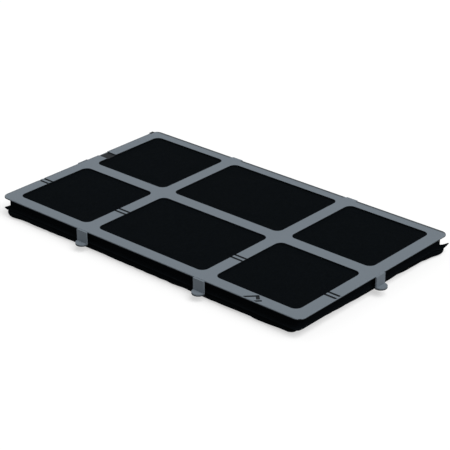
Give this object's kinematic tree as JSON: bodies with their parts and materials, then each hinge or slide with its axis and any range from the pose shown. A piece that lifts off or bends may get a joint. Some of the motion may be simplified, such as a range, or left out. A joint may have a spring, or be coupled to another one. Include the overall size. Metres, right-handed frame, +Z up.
{
  "type": "cooker hood carbon filter",
  "caption": "Flat rectangular plastic grille with open windows and clips at its rim, holding a sealed black fleece pouch of activated carbon under it.",
  "frame": {"origin": "under the middle of the panel, on the face that the pouch rests on", "axes": "+X along the panel's length, +Y to its rear, +Z up through the grille"},
  "size_m": [0.448, 0.268, 0.024],
  "materials": {
    "grille_plastic": "satin moulded, blue-grey",
    "pouch_fleece": "matt black needled fleece"
  },
  "bodies": {
    "root": {"top_grille": "grille_plastic", "carbon_pad": "pouch_fleece"}
  },
  "joints": []
}
